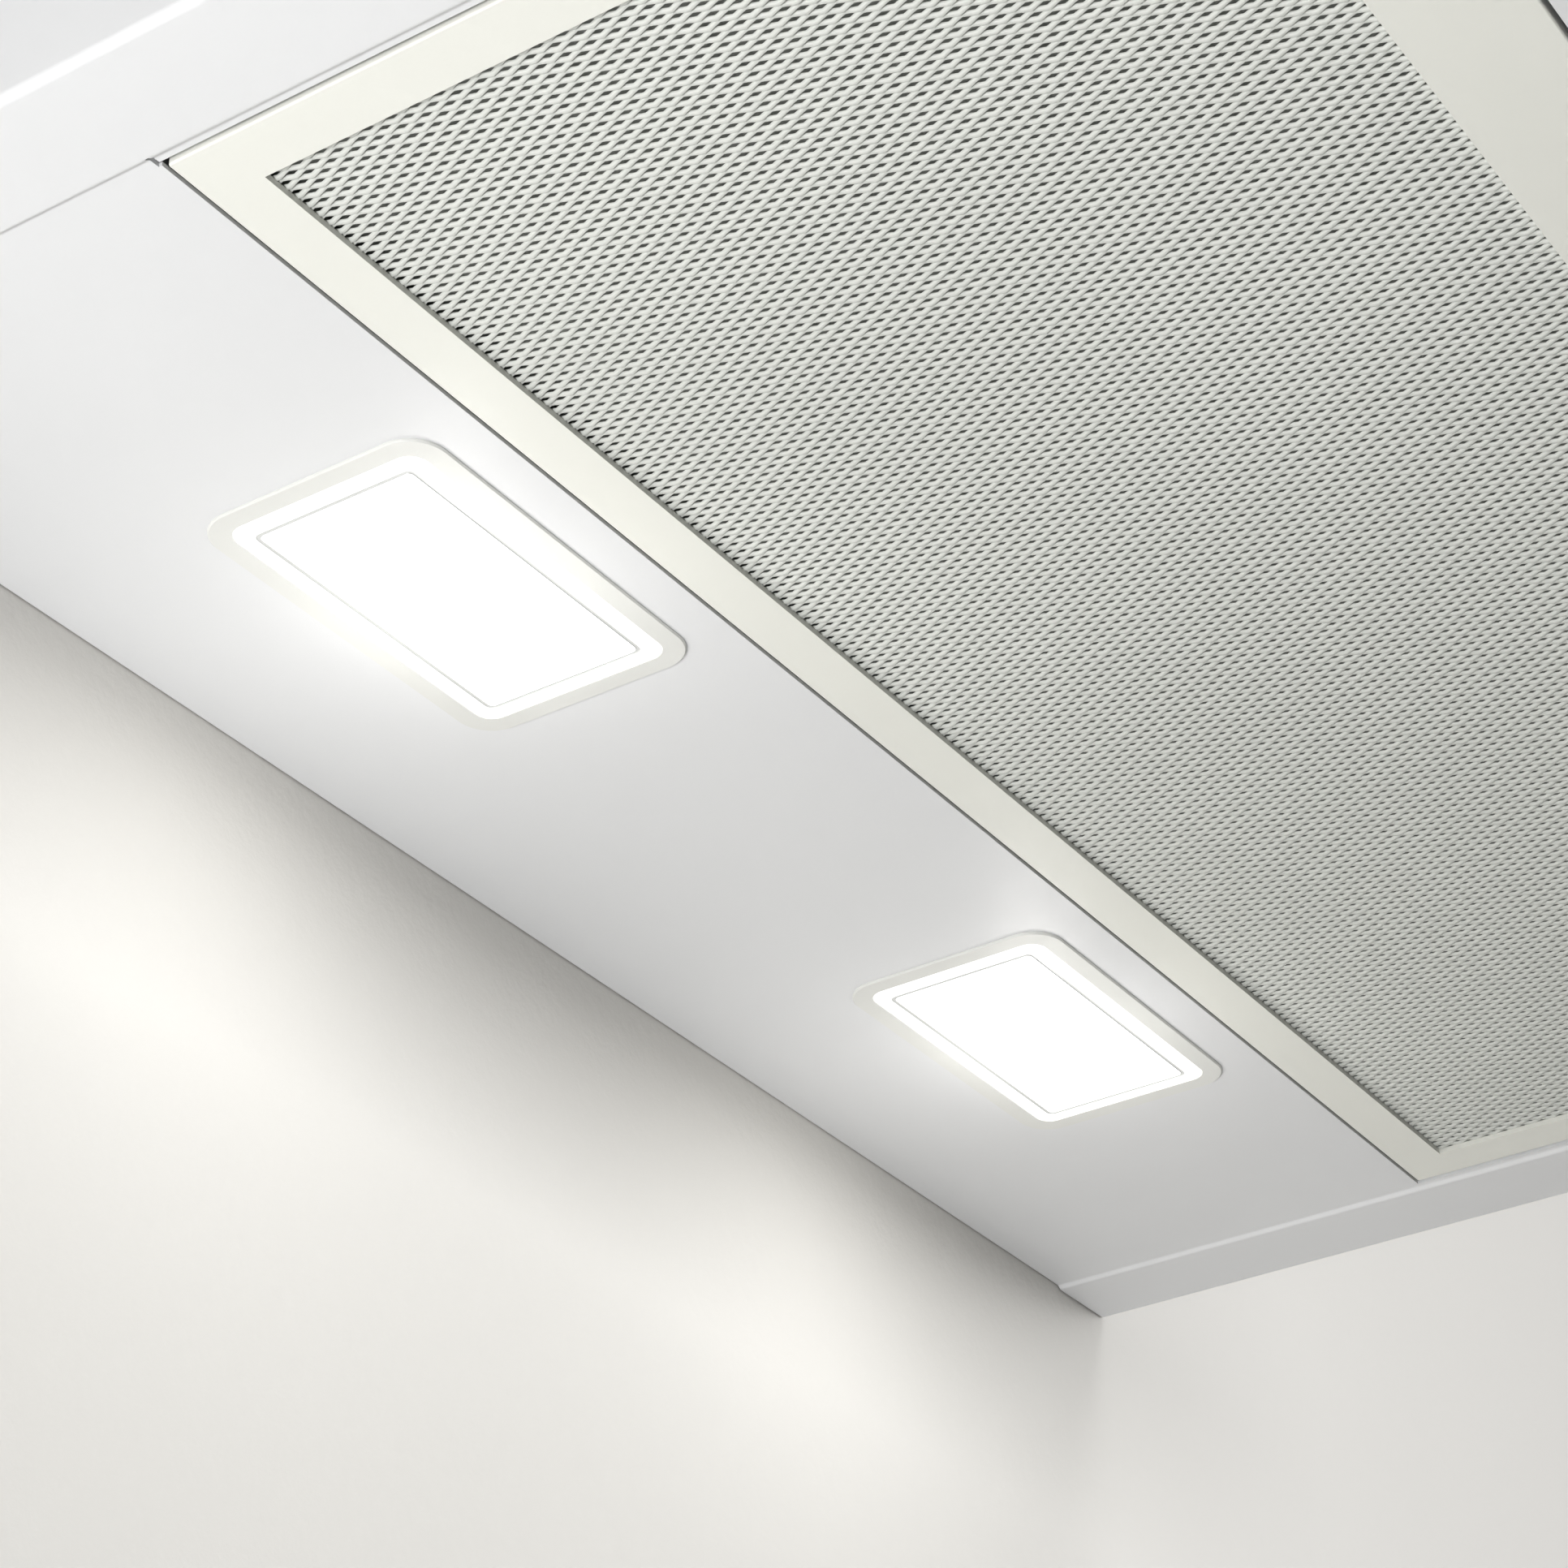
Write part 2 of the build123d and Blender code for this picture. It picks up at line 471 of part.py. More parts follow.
# ---------------------------------------------------------- electrical parts
TB_Z = -22.0
tb = box(-250, -150, 90, 157.8, -41, -T) - box(-248, -152, 92, 155.8, -42, -3)
tb -= cyly(-200, 150, 165, TB_Z, 6.0)
tb -= cylx(-153, -149, 145, TB_Z, 2.5)
tb -= cyly(-180, 89, 93, TB_Z, 2.5)
save("terminal_box", tb, GREY)
tc = box(-250, -150, 90, 157.8, -43, -41) + box(-247.8, -152.2, 92.2, 155.6, -41, -38)
tc -= box(-246, -154, 94, 153.8, -41, -30)
save("terminal_box_cover", tc, GREY)
blk = box(-225, -175, 104, 126, -23, -3)
for i in range(3):
    blk -= cyly(-213 + 13 * i, 99, 129, -14, 2.4)
    blk -= cyl(-213 + 13 * i, 115, 2.6, -25, -13)
save("terminal_block", blk, WHITE)
grm = cyly(-200, Y_WALL - T, Y_WALL - 0.1, TB_Z, 10.5) + cyly(-200, 153.8, Y_WALL - T, TB_Z, 5.9)
grm += cyly(-200, Y_WALL - 2.15, Y_WALL - T, TB_Z, 7.9)
grm -= cyly(-200, 150, 170, TB_Z, 3.7)
save("cable_grommet", grm, DARK)

# ------------------------------------------------------------------ controls
sur = box(BTN_X[0] - 14, BTN_X[-1] + 14, Y_FRONT - 0.8, Y_FRONT, BTN_Z - 9.5, BTN_Z + 9.5)
sur = fillet(sur.edges().filter_by(Axis.Y), 3.0)
sur = chamfer(sur.faces().sort_by(Axis.Y)[0].edges(), 0.4)
for x in BTN_X:
    sur -= box(x - BTN_L / 2, x + BTN_L / 2, Y_FRONT - 2, Y_FRONT + 1, BTN_Z - BTN_W / 2, BTN_Z + BTN_W / 2)
save("button_surround", sur, (0.8, 0.8, 0.8))
BTN_NAMES = ["fan_off_button", "fan_speed_1_button", "fan_speed_2_button", "fan_speed_3_button", "light_button"]
for n, x in zip(BTN_NAMES, BTN_X):
    c = 0.35
    b = box(x - BTN_L / 2 + c, x + BTN_L / 2 - c, Y_FRONT - 3.4, Y_SF + 4, BTN_Z - BTN_W / 2 + c, BTN_Z + BTN_W / 2 - c)
    b = fillet(b.faces().sort_by(Axis.Y)[0].edges(), 0.8)
    b += cyly(x, Y_SF + 4, Y_SF + 15, BTN_Z, 2.0)
    save(n, b, WHITE)
sw = box(BTN_X[0] - 12, BTN_X[-1] + 12, Y_SF + 8, Y_SF + 30, BTN_Z - 9, BTN_Z + 9)
for x in BTN_X:
    sw -= cyly(x, Y_SF + 7, Y_SF + 20, BTN_Z, 2.4)
save("switch_block", sw, DARK)
# Carrier that holds the switch block behind the fascia.
car = box(BTN_X[0] - 22, BTN_X[-1] + 22, Y_SF, Y_SF + 30, BTN_Z - 11, BTN_Z - 9)
car += box(BTN_X[0] - 22, BTN_X[0] - 20, Y_SF, Y_SF + 30, BTN_Z - 9, BTN_Z + 6)
car += box(BTN_X[-1] + 20, BTN_X[-1] + 22, Y_SF, Y_SF + 30, BTN_Z - 9, BTN_Z + 6)
car -= box(0, 400, Y_SF - 1, Y_SF + 1.3, -150, Z_PANEL + 13.4)
save("switch_carrier", car, GREY)

scr = None
for sx in (-1, 1):
    for x in (60.0, 250.0):
        p = cyly(sx * x, Y_FRONT + 0.8, Y_SF + T, Z_PANEL + 8, 1.4) + cyly(sx * x, Y_SF + T, Y_SF + T + 2, Z_PANEL + 8, 3.2)
        scr = p if scr is None else scr + p
save("fascia_screws", scr, ALU)

# -------------------------------------------------------------- grease filter
z0 = Z_PANEL
zt = Z_PANEL + FLT_H
fr = box(-FLT_HALF, FLT_HALF, FLT_FRONT, FLT_REAR, z0, zt)
fr = fillet(fr.edges().filter_by(Axis.Z), 0.8)
fr = fillet(fr.faces().sort_by(Axis.Z)[0].edges(), 0.5)
fr -= box(-FLT_HALF + FLT_SHEET, FLT_HALF - FLT_SHEET, FLT_FRONT + FLT_SHEET, FLT_REAR - FLT_SHEET, z0 + FLT_FACE_T, zt - 1.2)
fr -= box(-WIN_HALF, WIN_HALF, WIN_FRONT, WIN_REAR, z0 - 1, zt + 1)
for sx in (-1, 1):
    # finger opening in the face and slot in the front wall for each latch
    fr -= box(sx * LATCH_X - 20.4, sx * LATCH_X + 20.4, FLT_FRONT + 4, FLT_FRONT + 21.5, z0 - 1, z0 + FLT_FACE_T + 0.1)
    fr -= box(sx * LATCH_X - 14.4, sx * LATCH_X + 14.4, FLT_FRONT - 1, FLT_FRONT + 2, z0 + 1.9, z0 + 4.7)
    lo, hi = sorted((sx * (FLT_HALF - 3), sx * (FLT_HALF + 1)))
    fr -= cylx(lo, hi, PIV_Y, PIV_Z, PIN_R)
save("filter_frame", fr, FILT)
LAY_X, LAY_R, LAY_F = WIN_HALF + 6, WIN_REAR + 6, WIN_FRONT - 2.5
save("filter_face_mesh", box(-LAY_X, LAY_X, LAY_F, LAY_R, z0 + FLT_FACE_T, z0 + FLT_FACE_T + 0.8), FILT)
save("filter_back_mesh", box(-LAY_X, LAY_X, LAY_F, LAY_R, zt - 1.2 - 0.5, zt - 1.2), ALU)
med = None
for k in range(3):
    zz = z0 + FLT_FACE_T + 1.4 + 1.3 * k
    p = box(-LAY_X, LAY_X, LAY_F, LAY_R, zz, zz + 0.25)
    med = p if med is None else med + p
save("filter_media", med, ALU)
pins = None
for sx in (-1, 1):
    p = cylx(*sorted((sx * 266.4, sx * 270.6)), PIV_Y, PIV_Z, PIN_R)
    p += cylx(*sorted((sx * 264.9, sx * (FLT_HALF - FLT_SHEET))), PIV_Y, PIV_Z, 2.4)
    pins = p if pins is None else pins + p
save("filter_hinge_pins", pins, ALU)
for name, sx in (("left", -1), ("right", 1)):
    x = sx * LATCH_X
    l = box(x - 20, x + 20, FLT_FRONT + 4.5, FLT_FRONT + 16.0, z0 + 0.2, z0 + 4.4)     # finger plate
    l -= box(x - 16, x + 16, FLT_FRONT + 7.0, FLT_FRONT + 14.0, z0 - 1, z0 + 2.6)      # finger recess
    l += box(x - 14, x + 14, FLT_FRONT - 4.0, FLT_FRONT + 4.5, z0 + 2.2, z0 + 4.4)     # tongue
    save(f"filter_latch_{name}", l, GREY)

# ------------------------------------------------------------- internal leads
def lead(points, r, radius):
    path = FilletPolyline(*points, radius=radius)
    start = path @ 0
    tan = path % 0
    prof = Plane(origin=start, z_dir=tan) * Circle(r)
    s = sweep(prof, path=path)
    length = path.length
    print("lead length", round(length, 1), "volume ratio", round(s.volume / (math.pi * r * r * length), 4))
    return s


# Leads held inside the body: motor and switch supply from the terminal box,
# and one lead from the driver to each lamp.
mains = lead([(-153, 145, TB_Z), (-75, 145, TB_Z), (-75, FAN_Y, TB_Z), (-75, FAN_Y, FAN_Z + 28.6)], 2.4, 9)
mains += lead([(-180, 93, TB_Z), (-180, -110, TB_Z), (-180, -285, -112), (184, -285, BTN_Z), (184, Y_SF + 30, BTN_Z)], 2.4, 11)
save("mains_leads", mains, WHITE)
lamps = None
for sx in (-1, 1):
    p = lead([(sx * 62, 119, -13), (sx * LAMP_X, 119, -13), (sx * LAMP_X, 119, -90),
              (sx * LAMP_X, 100, -110), (sx * LAMP_X, 100, Z_PANEL + 24)], 1.5, 8)
    lamps = p if lamps is None else lamps + p
save("lamp_leads", lamps, WHITE)

if __name__ == "__main__":
    print(len(NODES), "nodes")
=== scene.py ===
import bpy
import bmesh
import json
import math
import random
import numpy as np
from mathutils import Matrix, Vector


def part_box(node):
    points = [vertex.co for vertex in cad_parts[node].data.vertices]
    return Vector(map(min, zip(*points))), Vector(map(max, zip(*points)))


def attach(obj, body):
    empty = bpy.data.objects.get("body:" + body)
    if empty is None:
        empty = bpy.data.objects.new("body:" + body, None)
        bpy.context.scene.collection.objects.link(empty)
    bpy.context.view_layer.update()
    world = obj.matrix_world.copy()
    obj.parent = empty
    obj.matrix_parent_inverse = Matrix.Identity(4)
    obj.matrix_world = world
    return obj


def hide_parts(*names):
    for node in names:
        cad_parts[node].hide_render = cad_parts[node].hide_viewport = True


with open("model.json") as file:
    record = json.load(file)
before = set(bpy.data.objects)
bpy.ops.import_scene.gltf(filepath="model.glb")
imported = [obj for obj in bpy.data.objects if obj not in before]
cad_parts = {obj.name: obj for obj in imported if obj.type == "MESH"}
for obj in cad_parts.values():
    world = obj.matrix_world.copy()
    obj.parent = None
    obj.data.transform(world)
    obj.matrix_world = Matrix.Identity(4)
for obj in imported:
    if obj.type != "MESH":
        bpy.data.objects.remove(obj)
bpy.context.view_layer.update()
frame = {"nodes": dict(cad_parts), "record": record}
nodes = frame["nodes"]
scene = bpy.context.scene
random.seed(7)
rng = np.random.default_rng(7)

# ------------------------------------------------------------------ places
b_lo, b_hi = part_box("body_shell")
Y_WALL = b_hi[1]
Z_STRIP = b_lo[2]
f_lo, f_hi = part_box("filter_frame")
Z_PANEL = f_lo[2]
LAMPS = {s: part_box("lamp_bezel_" + s) for s in ("left", "right")}


# --------------------------------------------------------------- materials
def new_mat(name):
    m = bpy.data.materials.new(name)
    m.use_nodes = True
    nt = m.node_tree
    return m, nt, nt.nodes["Principled BSDF"]


def coords(nt):
    return nt.nodes.new("ShaderNodeTexCoord").outputs["Object"]


def noise(nt, co, scale, detail=3.0, rough=0.5, stretch=None):
    if stretch is not None:
        mp = nt.nodes.new("ShaderNodeMapping")
        mp.inputs["Scale"].default_value = stretch
        nt.links.new(co, mp.inputs["Vector"])
        co = mp.outputs["Vector"]
    n = nt.nodes.new("ShaderNodeTexNoise")
    n.inputs["Scale"].default_value = scale
    n.inputs["Detail"].default_value = detail
    n.inputs["Roughness"].default_value = rough
    nt.links.new(co, n.inputs["Vector"])
    return n.outputs["Fac"]


def ramp(nt, fac, lo, hi, p0=0.3, p1=0.7):
    r = nt.nodes.new("ShaderNodeValToRGB")
    r.color_ramp.elements[0].position = p0
    r.color_ramp.elements[1].position = p1
    r.color_ramp.elements[0].color = (*lo, 1) if len(lo) == 3 else lo
    r.color_ramp.elements[1].color = (*hi, 1) if len(hi) == 3 else hi
    nt.links.new(fac, r.inputs["Fac"])
    return r.outputs["Color"]


def span(nt, fac, lo, hi):
    r = nt.nodes.new("ShaderNodeMapRange")
    r.inputs["From Min"].default_value = 0.3
    r.inputs["From Max"].default_value = 0.7
    r.inputs["To Min"].default_value = lo
    r.inputs["To Max"].default_value = hi
    nt.links.new(fac, r.inputs["Value"])
    return r.outputs["Result"]


def bump(nt, height, dist, strength, normal=None):
    b = nt.nodes.new("ShaderNodeBump")
    b.inputs["Distance"].default_value = dist
    b.inputs["Strength"].default_value = strength
    nt.links.new(height, b.inputs["Height"])
    if normal is not None:
        nt.links.new(normal, b.inputs["Normal"])
    return b.outputs["Normal"]


def scaled(c, k):
    return tuple(min(1.0, x * k) for x in c)


def paint(name, col, rough=(0.36, 0.46), grain=900.0, depth=0.00004, coat=0.0, vary=0.015, spec=0.5):
    """Powder coat: faint cloudiness, fine orange peel and a slightly uneven gloss."""
    m, nt, p = new_mat(name)
    co = coords(nt)
    big = noise(nt, co, 9.0, 3.0)
    nt.links.new(ramp(nt, big, scaled(col, 1 - vary), scaled(col, 1 + vary)), p.inputs["Base Color"])
    mid = noise(nt, co, 60.0, 4.0)
    nt.links.new(span(nt, mid, *rough), p.inputs["Roughness"])
    n = bump(nt, noise(nt, co, grain, 2.0), depth, 0.35)
    nt.links.new(bump(nt, noise(nt, co, 140.0, 1.0), 0.00012, 0.12, n), p.inputs["Normal"])
    p.inputs["Coat Weight"].default_value = coat
    p.inputs["Coat Roughness"].default_value = 0.25
    p.inputs["Specular IOR Level"].default_value = spec
    return m


def metal(name, col, rough=(0.25, 0.4), stretch=(1, 40, 40), scale=30.0, depth=0.00003, vary=0.06):
    """Rolled or ground metal with fine directional lines."""
    m, nt, p = new_mat(name)
    co = coords(nt)
    lines = noise(nt, co, scale, 5.0, 0.6, stretch)
    nt.links.new(ramp(nt, lines, scaled(col, 1 - vary), scaled(col, 1 + vary)), p.inputs["Base Color"])
    nt.links.new(span(nt, lines, *rough), p.inputs["Roughness"])
    nt.links.new(bump(nt, lines, depth, 0.3), p.inputs["Normal"])
    p.inputs["Metallic"].default_value = 1.0
    return m


def spangle(name, col):
    """Galvanised sheet with its crystal pattern."""
    m, nt, p = new_mat(name)
    co = coords(nt)
    v = nt.nodes.new("ShaderNodeTexVoronoi")
    v.inputs["Scale"].default_value = 110.0
    nt.links.new(co, v.inputs["Vector"])
    sep = nt.nodes.new("ShaderNodeSeparateColor")
    nt.links.new(v.outputs["Color"], sep.inputs["Color"])
    nt.links.new(ramp(nt, sep.outputs["Red"], scaled(col, 0.88), scaled(col, 1.1), 0.0, 1.0), p.inputs["Base Color"])
    nt.links.new(span(nt, sep.outputs["Green"], 0.32, 0.48), p.inputs["Roughness"])
    nt.links.new(bump(nt, noise(nt, co, 500.0, 2.0), 0.00003, 0.3), p.inputs["Normal"])
    p.inputs["Metallic"].default_value = 0.9
    return m


def plastic(name, col, rough=(0.4, 0.55), grain=1400.0, depth=0.00005, vary=0.04, sub=0.0):
    """Moulded plastic with a fine spark eroded texture."""
    m, nt, p = new_mat(name)
    co = coords(nt)
    nt.links.new(ramp(nt, noise(nt, co, 25.0, 3.0), scaled(col, 1 - vary), scaled(col, 1 + vary)), p.inputs["Base Color"])
    nt.links.new(span(nt, noise(nt, co, 220.0, 3.0), *rough), p.inputs["Roughness"])
    nt.links.new(bump(nt, noise(nt, co, grain, 2.0), depth, 0.4), p.inputs["Normal"])
    p.inputs["Subsurface Weight"].default_value = sub
    p.inputs["Subsurface Radius"].default_value = (0.004, 0.004, 0.004)
    return m


M = {
    "body_paint": paint("white_powder_coat", (0.775, 0.783, 0.795), spec=0.35),
    "filter_paint": paint("filter_frame_coat", (0.84, 0.845, 0.79), rough=(0.40, 0.5), grain=1100.0),
    "bezel_plastic": plastic("bezel_plastic", (0.76, 0.765, 0.74), rough=(0.42, 0.52), sub=0.15),
    "bare_aluminium": metal("mill_aluminium", (0.80, 0.81, 0.82)),
    "galvanised": spangle("galvanised_sheet", (0.62, 0.64, 0.66)),
    "screw_steel": metal("zinc_plate", (0.70, 0.70, 0.72), rough=(0.22, 0.35), stretch=(20, 20, 20), scale=40.0),
    "shaft_steel": metal("ground_steel", (0.55, 0.55, 0.57), rough=(0.15, 0.3), stretch=(60, 4, 4), scale=20.0),
    "copper": metal("varnished_copper", (0.72, 0.36, 0.16), rough=(0.3, 0.45), stretch=(120, 8, 8), scale=20.0, depth=0.0002, vary=0.2),
    "grey_plastic": plastic("grey_moulding", (0.135, 0.14, 0.15)),
    "black_plastic": plastic("black_moulding", (0.022, 0.022, 0.024), rough=(0.35, 0.5)),
    "white_plastic": plastic("white_moulding", (0.82, 0.82, 0.80), rough=(0.25, 0.36), sub=0.1),
    "latch_plastic": plastic("latch_moulding", (0.55, 0.56, 0.55)),
    "rubber": plastic("soft_rubber", (0.03, 0.03, 0.03), rough=(0.6, 0.8), grain=700.0, depth=0.0001),
    "circuit_board": plastic("board_white", (0.78, 0.82, 0.76), rough=(0.25, 0.35)),
    "trim_plastic": plastic("trim_moulding", (0.42, 0.43, 0.44), rough=(0.3, 0.42)),
    "lens": plastic("lens_plastic", (0.92, 0.92, 0.91), rough=(0.2, 0.3)),
}

slot_of = {s["node"]: s["material_slot"] for s in frame["record"]["subparts"]}
for n, o in nodes.items():
    m = M[slot_of[n]]
    if not o.data.materials:
        o.data.materials.append(m)
    for i in range(len(o.data.materials)):
        o.data.materials[i] = m


# The CAD nodes are welded and shaded smooth over their bends, while flat faces stay flat.
def soften(name):
    o = nodes[name]
    for f in o.data.polygons:
        f.use_smooth = True
    w = o.modifiers.new("weld", "WELD")
    w.merge_threshold = 1e-5
    e = o.modifiers.new("split", "EDGE_SPLIT")
    e.split_angle = math.radians(32)
    n = o.modifiers.new("weighted", "WEIGHTED_NORMAL")
    n.mode = "FACE_AREA"
    n.weight = 100
    n.keep_sharp = True


for n in nodes:
    soften(n)


# ------------------------------------------------------------ mesh helpers
def make(name, verts, faces, material, body, smooth=False, faces_mat=None):
    me = bpy.data.meshes.new(name)
    me.from_pydata([tuple(v) for v in verts], [], [tuple(f) for f in faces])
    mats = material if isinstance(material, (list, tuple)) else [material]
    for m in mats:
        me.materials.append(m)
    if faces_mat is not None:
        me.polygons.foreach_set("material_index", list(faces_mat))
    if smooth:
        me.polygons.foreach_set("use_smooth", [True] * len(me.polygons))
    me.update()
    o = bpy.data.objects.new(name, me)
    scene.collection.objects.link(o)
    if body:
        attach(o, body)
    return o


# -------------------------------------------------- expanded metal of the filter
MESH_SWD, MESH_LWD = 0.003125, 0.00556
STR_W, STR_T, TILT = 0.00112, 0.00032, math.radians(33)
SPREAD = 0.00036


def expanded_mesh():
    lo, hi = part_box("filter_face_mesh")
    wx0, wx1 = -0.2575, 0.2575
    wy0, wy1 = f_hi[1] - 0.0128 - 0.1925, f_hi[1] - 0.0128 + 0.0025
    half = MESH_SWD / 2
    n_str = int((wx1 - wx0) / half)
    rows = int(round((wy1 - wy0) / (MESH_LWD / 2)))
    sub = 3
    zc = (lo[2] + 0.0004)
    ys = np.arange(rows * sub + 1) * (MESH_LWD / 2 / sub) + wy0
    phase = (np.arange(rows * sub + 1) / sub)
    tri = np.abs((phase % 2.0) - 1.0) * 2 - 1            # 1 at even rows, -1 at odd rows
    prof = np.sin(tri * math.pi / 2) * 0.35 + tri * 0.65
    c, s = math.cos(TILT), math.sin(TILT)
    verts, faces = [], []
    q = 0
    for k in range(n_str):
        sign = 1 if k % 2 == 0 else -1
        x0 = wx0 + (k + 0.5) * half
        dx = sign * SPREAD * prof
        dz = -sign * 0.00019 * prof
        jit = rng.normal(0, 0.00001, len(ys))
        # corner offsets of the tilted strand: (along width, along thickness)
        for a, b in ((-1, -1), (1, -1), (1, 1), (-1, 1)):
            ox = a * STR_W / 2 * c - (-b) * STR_T / 2 * s * -1
            oz = -a * STR_W / 2 * s + b * STR_T / 2 * c
            ox = a * STR_W / 2 * c + b * STR_T / 2 * s
            verts.append(np.stack([x0 + dx + ox + jit, ys, zc + dz + oz], 1))
        m = len(ys)
        base = q
        i = np.arange(m - 1)
        for u in range(4):
            v = (u + 1) % 4
            faces.append(np.stack([base + u * m + i, base + v * m + i, base + v * m + i + 1, base + u * m + i + 1], 1))
        faces.append(np.array([[base, base + 3 * m, base + 2 * m, base + m],
                               [base + m - 1, base + 2 * m - 1, base + 3 * m - 1, base + 4 * m - 1]]))
        q += 4 * m
    v = np.concatenate(verts)
    f = np.concatenate(faces)
    me = bpy.data.meshes.new("filter_expanded_mesh")
    me.vertices.add(len(v))
    me.vertices.foreach_set("co", v.astype(np.float32).ravel())
    me.loops.add(len(f) * 4)
    me.loops.foreach_set("vertex_index", f.astype(np.int32).ravel())
    me.polygons.add(len(f))
    me.polygons.foreach_set("loop_start", (np.arange(len(f)) * 4).astype(np.int32))
    me.update(calc_edges=True)
    me.materials.append(M["filter_mesh"])
    o = bpy.data.objects.new("filter_expanded_mesh", me)
    scene.collection.objects.link(o)
    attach(o, "filter")
    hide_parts("filter_face_mesh")
    return o


M["filter_mesh"] = paint("filter_mesh_coat", (0.655, 0.67, 0.635), rough=(0.4, 0.55), grain=1600.0, vary=0.03)
expanded_mesh()


# ---------------------------------------------------------- crimped media layers
def crimped_media():
    lo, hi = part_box("filter_media")
    nx, ny = 330, 110
    xs = np.linspace(lo[0], hi[0], nx)
    ys = np.linspace(lo[1], hi[1], ny)
    gx, gy = np.meshgrid(xs, ys, indexing="ij")
    z = (lo[2] + hi[2]) / 2 + 0.0009 * np.sin(gx / 0.0115 * 2 * math.pi + 1.2 * np.sin(gy / 0.03)) * np.cos(gy / 0.017 * 2 * math.pi)
    z += rng.normal(0, 0.00012, z.shape)
    z = np.clip(z, lo[2], hi[2] - 0.0003)
    top = np.stack([gx, gy, z + 0.0002], 2).reshape(-1, 3)
    bot = np.stack([gx, gy, z], 2).reshape(-1, 3)
    v = np.concatenate([bot, top])
    off = nx * ny
    i, j = np.meshgrid(np.arange(nx - 1), np.arange(ny - 1), indexing="ij")
    a = (i * ny + j).ravel()
    fb = np.stack([a, a + 1, a + ny + 1, a + ny], 1)
    ft = np.stack([a + off, a + ny + off, a + ny + 1 + off, a + 1 + off], 1)
    rim = []
    for e in range(nx - 1):
        p, q = e * ny, (e + 1) * ny
        rim.append((p, q, q + off, p + off))
        p, q = e * ny + ny - 1, (e + 1) * ny + ny - 1
        rim.append((q, p, p + off, q + off))
    for e in range(ny - 1):
        p, q = e, e + 1
        rim.append((q, p, p + off, q + off))
        p, q = (nx - 1) * ny + e, (nx - 1) * ny + e + 1
        rim.append((p, q, q + off, p + off))
    f = np.concatenate([fb, ft, np.array(rim)])
    o = make("filter_crimped_layers", v, f, M["media"], "filter", smooth=True)
    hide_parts("filter_media")
    return o


# The crimped aluminium layers are real, but their colour is darkened to paint in shade: it stands for the shade inside
# the filter seen through the mesh holes.
M["media"] = metal("crimped_foil_painted_shade", (0.34, 0.35, 0.335), rough=(0.5, 0.75), stretch=(1, 1, 1), scale=300.0, vary=0.2)
crimped_media()


# --------------------------------------------------------------------- lamps
def emissive(name, col, strength, base=(0.9, 0.9, 0.9)):
    m, nt, p = new_mat(name)
    co = coords(nt)
    nt.links.new(ramp(nt, noise(nt, co, 120.0, 2.0), scaled(base, 0.97), scaled(base, 1.0)), p.inputs["Base Color"])
    nt.links.new(bump(nt, noise(nt, co, 900.0, 2.0), 0.00003, 0.2), p.inputs["Normal"])
    p.inputs["Roughness"].default_value = 0.3
    p.inputs["Emission Color"].default_value = (*col, 1)
    p.inputs["Emission Strength"].default_value = strength
    return m


E_CENTRE = emissive("lens_centre", (1.0, 0.995, 0.97), 2.8)
E_RIM = emissive("lens_rim", (1.0, 0.995, 0.98), 0.75)
E_LINE = emissive("lens_line", (1.0, 0.99, 0.97), 0.22, base=(0.46, 0.47, 0.46))


def loop_rr(cx, cy, l, w, r, n=8):
    pts = []
    for (sx, sy, a0) in ((1, 1, 0), (-1, 1, 90), (-1, -1, 180), (1, -1, 270)):
        for k in range(n + 1):
            a = math.radians(a0 + 90 * k / n)
            pts.append((cx + sx * (l / 2 - r) + r * math.cos(a), cy + sy * (w / 2 - r) + r * math.sin(a)))
    return pts


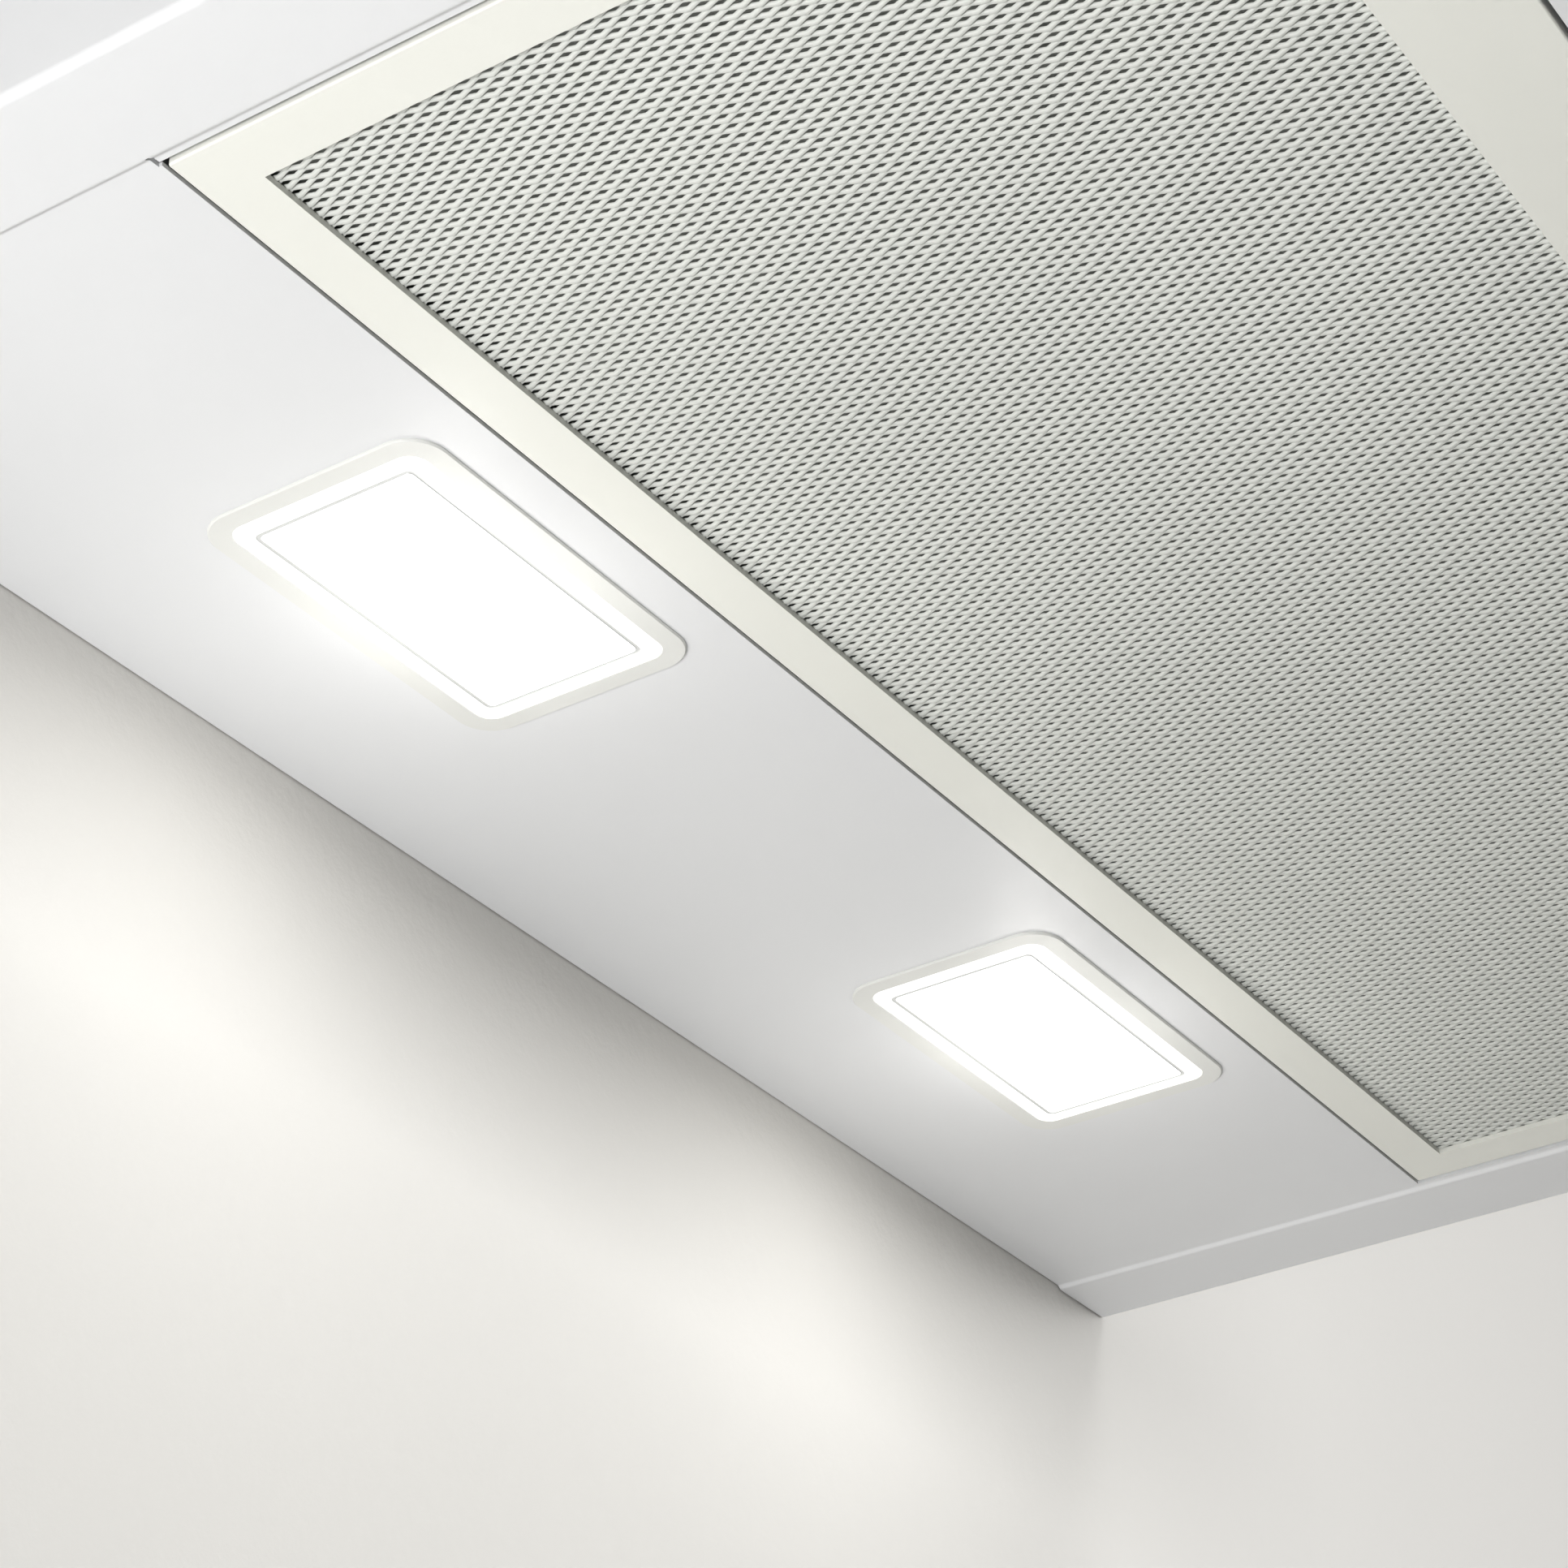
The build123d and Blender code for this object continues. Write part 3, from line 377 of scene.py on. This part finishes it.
def lens(side):
    lo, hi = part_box("lamp_lens_" + side)
    cx, cy = (lo[0] + hi[0]) / 2, (lo[1] + hi[1]) / 2
    L, W = hi[0] - lo[0], hi[1] - lo[1]
    z0 = lo[2]
    # (inset, height above the lowest face, material index of the band that follows)
    prof = [(0.0, 0.0026, 1), (0.0, 0.0008, 1), (0.00012, 0.0004, 1), (0.0004, 0.00012, 1), (0.0008, 0.0, 1), (0.0030, 0.00002, 3),
            (0.0042, 0.00004, 2), (0.0044, 0.0003, 2), (0.0050, 0.0003, 2), (0.0052, 0.00004, 0), (0.012, 0.0, 0)]
    verts, faces, fm = [], [], []
    n = None
    for (ins, h, _) in prof:
        ring = loop_rr(cx, cy, L - 2 * ins, W - 2 * ins, max(0.0006, 0.0045 - ins * 0.6))
        n = len(ring)
        verts += [(x, y, z0 + h) for x, y in ring]
    for k in range(len(prof) - 1):
        for i in range(n):
            j = (i + 1) % n
            faces.append((k * n + i, k * n + j, (k + 1) * n + j, (k + 1) * n + i))
            fm.append(prof[k][2])
    last = (len(prof) - 1) * n
    faces.append(tuple(last + i for i in range(n)))
    fm.append(0)
    top = len(verts)
    ring = loop_rr(cx, cy, L - 0.0001, W - 0.0001, 0.0044)
    verts += [(x, y, z0 + 0.0028) for x, y in ring]
    for i in range(n):
        j = (i + 1) % n
        faces.append((i, top + i, top + j, j))
        fm.append(1)
    faces.append(tuple(top + i for i in reversed(range(n))))
    fm.append(1)
    o = make("lamp_cover_" + side, verts, faces, [E_CENTRE, E_RIM, E_LINE, E_RIM], "body", faces_mat=fm)
    bm = bmesh.new()
    bm.from_mesh(o.data)
    bmesh.ops.recalc_face_normals(bm, faces=bm.faces)
    bm.to_mesh(o.data)
    bm.free()
    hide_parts("lamp_lens_" + side)
    lt = bpy.data.lights.new("lamp_halo_" + side, "POINT")
    lt.energy = LAMP_W
    lt.shadow_soft_size = 0.012
    lt.color = (1.0, 0.985, 0.95)
    h = bpy.data.objects.new("lamp_halo_" + side, lt)
    h.location = (cx, cy, z0 - 0.030)
    h.visible_camera = False
    scene.collection.objects.link(h)
    return o


LAMP_W = 0.042
for s in ("left", "right"):
    lens(s)


# ----------------------------------------------------------------- the stage
def stage_mat(name, col, rough, plaster=True):
    m, nt, p = new_mat(name)
    co = coords(nt)
    nt.links.new(ramp(nt, noise(nt, co, 3.0, 4.0), scaled(col, 0.99), scaled(col, 1.01)), p.inputs["Base Color"])
    p.inputs["Roughness"].default_value = rough
    p.inputs["Specular IOR Level"].default_value = 0.2
    if plaster:
        n = bump(nt, noise(nt, co, 260.0, 5.0, 0.6), 0.0006, 0.35)
        nt.links.new(n, p.inputs["Normal"])
    geo = nt.nodes.new("ShaderNodeNewGeometry")
    tr = nt.nodes.new("ShaderNodeBsdfTransparent")
    mix = nt.nodes.new("ShaderNodeMixShader")
    out = nt.nodes["Material Output"]
    nt.links.new(geo.outputs["Backfacing"], mix.inputs["Fac"])
    nt.links.new(p.outputs["BSDF"], mix.inputs[1])
    nt.links.new(tr.outputs["BSDF"], mix.inputs[2])
    nt.links.new(mix.outputs["Shader"], out.inputs["Surface"])
    return m


def plane(name, corners, mat_):
    me = bpy.data.meshes.new(name)
    me.from_pydata(corners, [], [(0, 1, 2, 3)])
    me.materials.append(mat_)
    o = bpy.data.objects.new(name, me)
    scene.collection.objects.link(o)
    return o


yw = Y_WALL + 0.0004
ZF = -0.95
plane("stage_wall", [(-4, yw, ZF), (4, yw, ZF), (4, yw, 3), (-4, yw, 3)], stage_mat("wall_plaster", (0.80, 0.785, 0.755), 0.8))
plane("stage_floor", [(-4, -6, ZF), (4, -6, ZF), (4, yw, ZF), (-4, yw, ZF)], stage_mat("pale_floor", (0.56, 0.555, 0.54), 0.7, False))


# ---------------------------------------------------------------- the lights
def area(name, loc, target, size, energy, col=(1, 1, 1), size_y=None, spread=180.0):
    lt = bpy.data.lights.new(name, "AREA")
    lt.spread = math.radians(spread)
    lt.size = size
    if size_y:
        lt.shape = "RECTANGLE"
        lt.size_y = size_y
    lt.energy = energy
    lt.color = col
    o = bpy.data.objects.new(name, lt)
    o.location = loc
    o.rotation_mode = "QUATERNION"
    o.rotation_quaternion = (Vector(target) - Vector(loc)).to_track_quat("-Z", "Y")
    o.visible_camera = False
    scene.collection.objects.link(o)
    return o


area("under_key", (-1.00, 0.04, -0.84), (-0.40, 0.03, -0.15), 0.40, 5.8, spread=120.0)
area("front_key", (0.80, -3.3, 0.10), (0.40, 0.16, -0.10), 3.0, 16.0, size_y=0.42, spread=70.0)
area("top_fill", (0.8, -1.6, 2.4), (0.0, 0.0, 0.0), 1.6, 4.0, spread=60.0)
world = bpy.data.worlds.new("soft_world")
scene.world = world
world.use_nodes = True
world.node_tree.nodes["Background"].inputs["Color"].default_value = (1.0, 1.0, 1.0, 1)
world.node_tree.nodes["Background"].inputs["Strength"].default_value = 0.03

scene.view_settings.view_transform = "Standard"
scene.view_settings.look = "None"

# ---------------------------------------------------------------- the camera
cam = bpy.data.cameras.new("camera")
cam.lens = 87.2
cam.sensor_width = 36.0
cam.clip_start, cam.clip_end = 0.01, 50
co = bpy.data.objects.new("camera", cam)
right = Vector((0.5531, -0.8330, -0.0160))
up = Vector((-0.4269, -0.2998, 0.8532))
fwd = Vector((0.7155, 0.4651, 0.5214))
rot = Matrix((right, up, -fwd)).transposed()
co.matrix_world = Matrix.Translation((-0.6591, Y_WALL - 0.5090, Z_PANEL - 0.4668)) @ rot.to_4x4()
scene.collection.objects.link(co)
scene.camera = co

bpy.context.view_layer.update()
